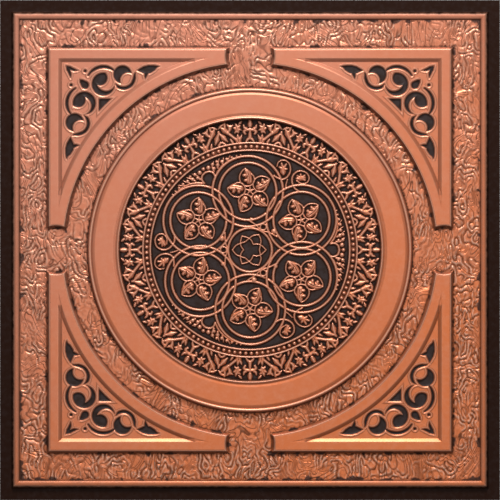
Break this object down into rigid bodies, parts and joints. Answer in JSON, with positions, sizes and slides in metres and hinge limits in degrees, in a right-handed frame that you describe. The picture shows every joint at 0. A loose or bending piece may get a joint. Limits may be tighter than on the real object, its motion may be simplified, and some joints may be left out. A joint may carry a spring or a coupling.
{
  "type": "pressed tin ceiling tile",
  "caption": "Square pressed sheet-metal ceiling tile: round tracery medallion with a pearl rim, flat ring moulding, pierced-look corner plates, hammered field and flat lay-in flange.",
  "frame": {"origin": "centre of the tile, on the back of its flange", "axes": "+Z out of the ornamented face, +X and +Y along the tile's sides"},
  "size_m": [0.603, 0.603, 0.0105],
  "materials": {
    "copper_finish": "satin"
  },
  "bodies": {
    "root": {"pressed_sheet": "copper_finish"}
  },
  "joints": []
}
